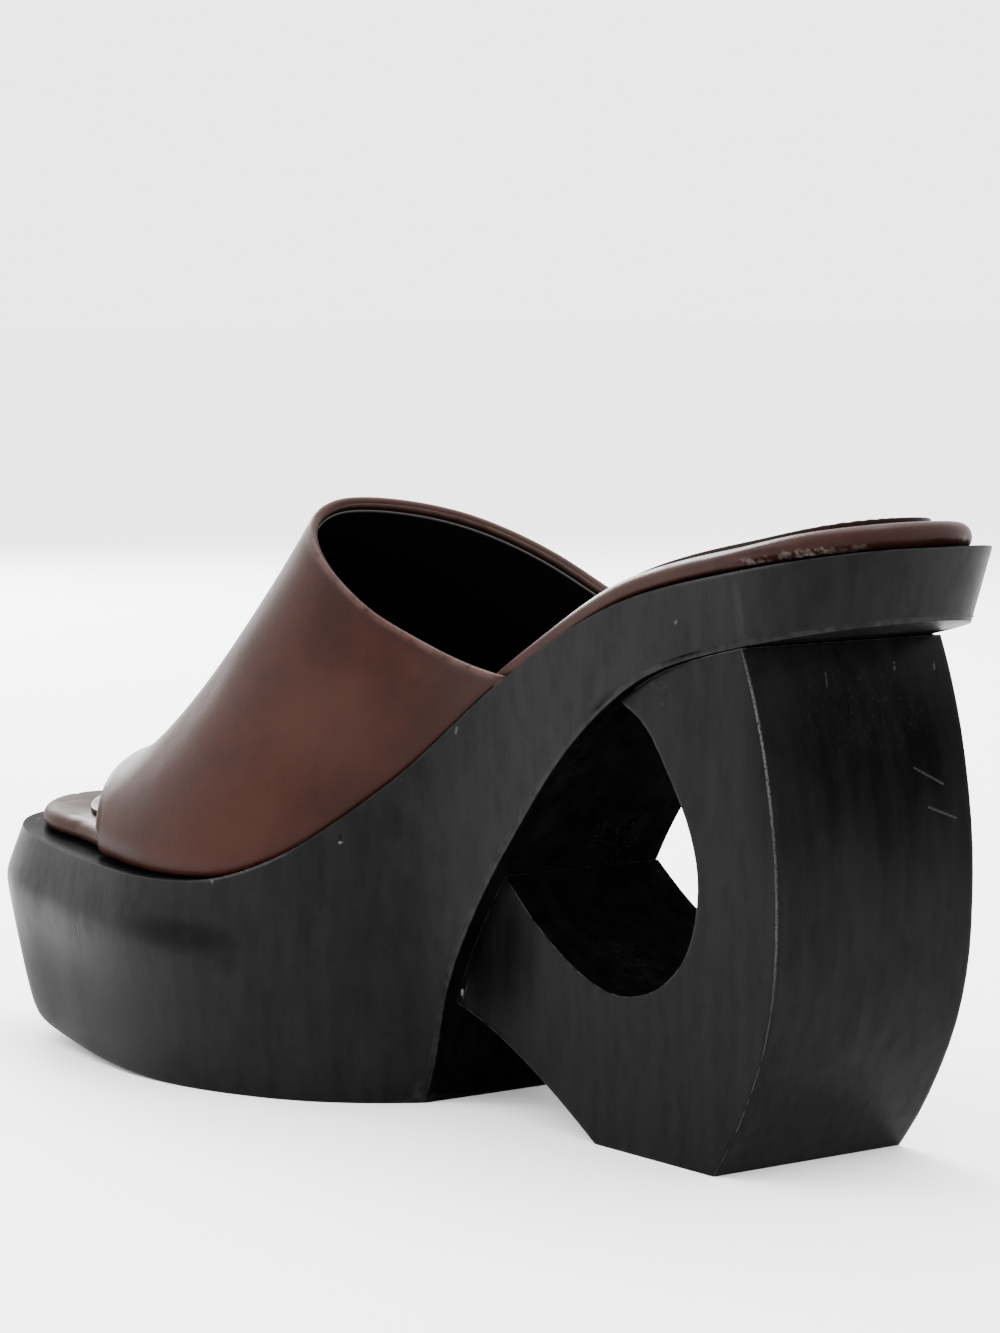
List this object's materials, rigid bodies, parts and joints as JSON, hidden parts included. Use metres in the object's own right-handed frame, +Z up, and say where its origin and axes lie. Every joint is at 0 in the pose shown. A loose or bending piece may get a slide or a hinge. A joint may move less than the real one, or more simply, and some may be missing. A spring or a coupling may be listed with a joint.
{
  "type": "platform mule",
  "caption": "Right foot platform mule: carved wood body, bowed wood heel block with a hole through it, padded insole and a wide leather band.",
  "frame": {"origin": "middle of the outline on the floor", "axes": "+X from heel to toe, +Y to the inner side of the foot, +Z up"},
  "size_m": [0.2492, 0.0886, 0.1178],
  "materials": {
    "body_wood": "black stained satin",
    "block_wood": "black stained satin",
    "insole_leather": "smooth semi gloss over padding",
    "sock_leather": "smooth satin",
    "band_leather": "smooth satin, black lining"
  },
  "bodies": {
    "root": {"platform": "body_wood", "heel_block": "block_wood", "insole": "insole_leather", "sock": "sock_leather", "upper": "band_leather"}
  },
  "joints": []
}
